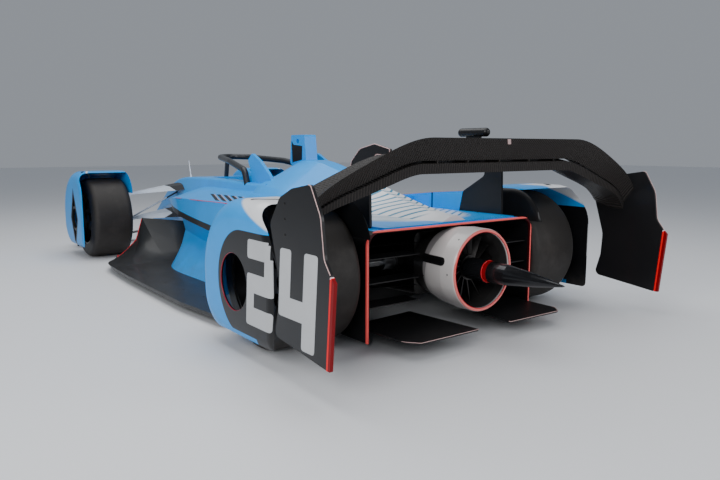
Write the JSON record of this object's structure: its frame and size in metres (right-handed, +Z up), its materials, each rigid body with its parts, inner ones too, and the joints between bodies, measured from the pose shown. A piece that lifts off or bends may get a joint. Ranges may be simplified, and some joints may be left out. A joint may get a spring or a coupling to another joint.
{
  "type": "open wheel racing car with faired wheels",
  "caption": "Single-seat electric racing car with faired wheels, an arched rear wing on swan-neck posts, a ducted tail rotor with a spike, and steered front wheels.",
  "frame": {"origin": "on the ground under the middle of the car's overall box", "axes": "+X forward, +Y to the car's left, +Z up"},
  "size_m": [5, 2.2, 1.024],
  "materials": {
    "blue_paint": "gloss",
    "white_paint": "gloss",
    "carbon_black": "satin",
    "ribbed_black": "satin",
    "halo_grey": "satin",
    "arm_silver": "satin",
    "tyre_rubber": "matte",
    "rim_dark": "satin",
    "steel": "brushed",
    "dark_metal": "satin",
    "lamp_red": "gloss",
    "seat_fabric": "woven",
    "battery_case": "satin"
  },
  "bodies": {
    "chassis": {"tub": "blue_paint", "engine_cover": "blue_paint", "floor": "carbon_black", "sidepods": "blue_paint", "roll_hoop": "blue_paint", "head_fins": "blue_paint", "halo": "halo_grey", "front_wing": "carbon_black", "seat": "seat_fabric", "headrest": "seat_fabric", "steering_wheel": "carbon_black", "antenna": "steel", "motor_case": "dark_metal", "wing_posts": "carbon_black", "wing_main": "carbon_black", "wing_flap": "ribbed_black", "endplates": "carbon_black", "tail_lights": "lamp_red", "tunnel_box": "carbon_black", "tunnel_plates": "carbon_black", "rotor_housing": "white_paint", "rotor_carrier": "dark_metal", "tail_spike": "dark_metal", "wing_centre_pod": "carbon_black", "battery": "battery_case", "front_upper_arms": "arm_silver", "front_lower_arms": "arm_silver", "rear_arms": "carbon_black", "rear_uprights": "dark_metal", "rear_fairings": "blue_paint"},
    "steer_left": {"front_upright_left": "dark_metal", "front_fairing_left": "blue_paint"},
    "steer_right": {"front_upright_right": "dark_metal", "front_fairing_right": "blue_paint"},
    "wheel_front_left": {"front_tyre_left": "tyre_rubber", "front_rim_left": "rim_dark"},
    "wheel_front_right": {"front_tyre_right": "tyre_rubber", "front_rim_right": "rim_dark"},
    "wheel_rear_left": {"rear_tyre_left": "tyre_rubber", "rear_rim_left": "rim_dark", "driveshaft_left": "steel"},
    "wheel_rear_right": {"rear_tyre_right": "tyre_rubber", "rear_rim_right": "rim_dark", "driveshaft_right": "steel"},
    "rotor_wheel": {"rotor": "dark_metal"}
  },
  "joints": [
    {"name": "steer_left_turn", "type": "hinge", "parent": "chassis", "child": "steer_left", "pos_m": [1.7, 0.64, 0.335], "axis": [0, 0, 1], "range_deg": [-18, 18]},
    {"name": "steer_right_turn", "type": "hinge", "parent": "chassis", "child": "steer_right", "pos_m": [1.7, -0.64, 0.335], "axis": [0, 0, 1], "range_deg": [-18, 18]},
    {"name": "wheel_front_left_spin", "type": "hinge", "parent": "steer_left", "child": "wheel_front_left", "pos_m": [1.7, 0.76, 0.335], "axis": [0, 1, 0], "continuous": true},
    {"name": "wheel_rear_left_spin", "type": "hinge", "parent": "chassis", "child": "wheel_rear_left", "pos_m": [-1.53, 0.79, 0.335], "axis": [0, 1, 0], "continuous": true},
    {"name": "wheel_front_right_spin", "type": "hinge", "parent": "steer_right", "child": "wheel_front_right", "pos_m": [1.7, -0.76, 0.335], "axis": [0, 1, 0], "continuous": true},
    {"name": "wheel_rear_right_spin", "type": "hinge", "parent": "chassis", "child": "wheel_rear_right", "pos_m": [-1.53, -0.79, 0.335], "axis": [0, 1, 0], "continuous": true},
    {"name": "rotor_spin", "type": "hinge", "parent": "chassis", "child": "rotor_wheel", "pos_m": [-1.9, 0, 0.34], "axis": [1, 0, 0], "continuous": true}
  ],
  "couplings": [
    {"joint": "steer_right_turn", "follows": "steer_left_turn", "ratio": 1}
  ]
}
